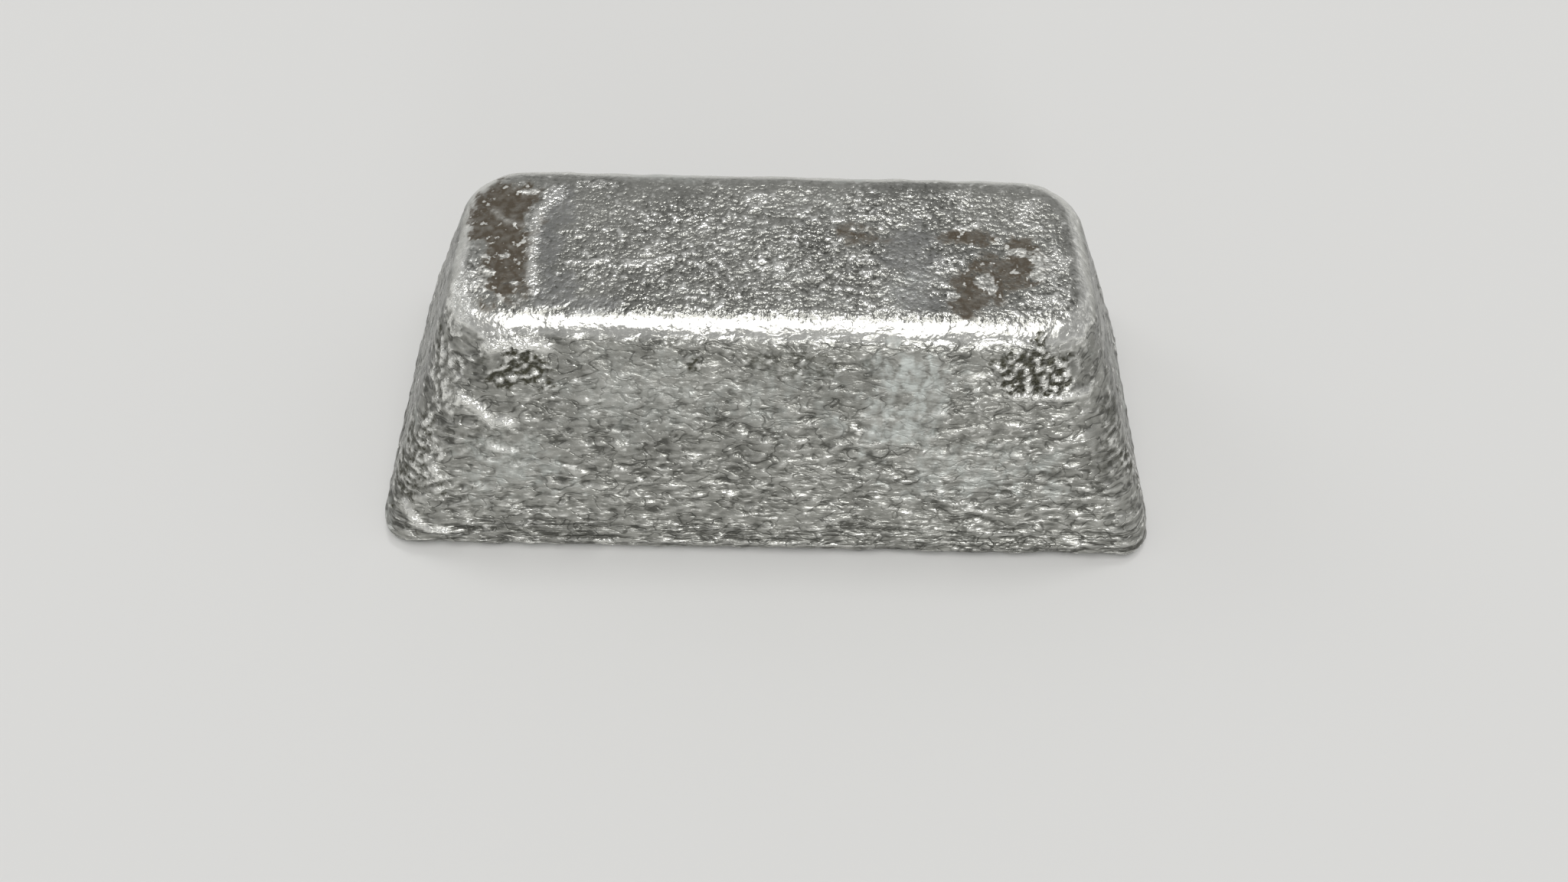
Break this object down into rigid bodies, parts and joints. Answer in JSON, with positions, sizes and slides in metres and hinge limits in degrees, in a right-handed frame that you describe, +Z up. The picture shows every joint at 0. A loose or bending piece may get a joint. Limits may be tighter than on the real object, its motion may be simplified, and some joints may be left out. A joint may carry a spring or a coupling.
{
  "type": "metal ingot",
  "caption": "Small loaf-shaped lead ingot with drafted walls and rounded edges, cast in one piece to be stacked, stored and melted down.",
  "frame": {"origin": "centre of the wide poured face, on the table that the ingot lies on", "axes": "+X along the ingot, +Y across it away from the picture's viewer, +Z up from the poured side to the narrow side that the mould floor gave"},
  "size_m": [0.0964, 0.0438, 0.0325],
  "materials": {
    "cast_lead": "dull grey cast lead with a fine wrinkled skin, oxide haze and brown stains"
  },
  "bodies": {
    "root": {"ingot": "cast_lead"}
  },
  "joints": []
}
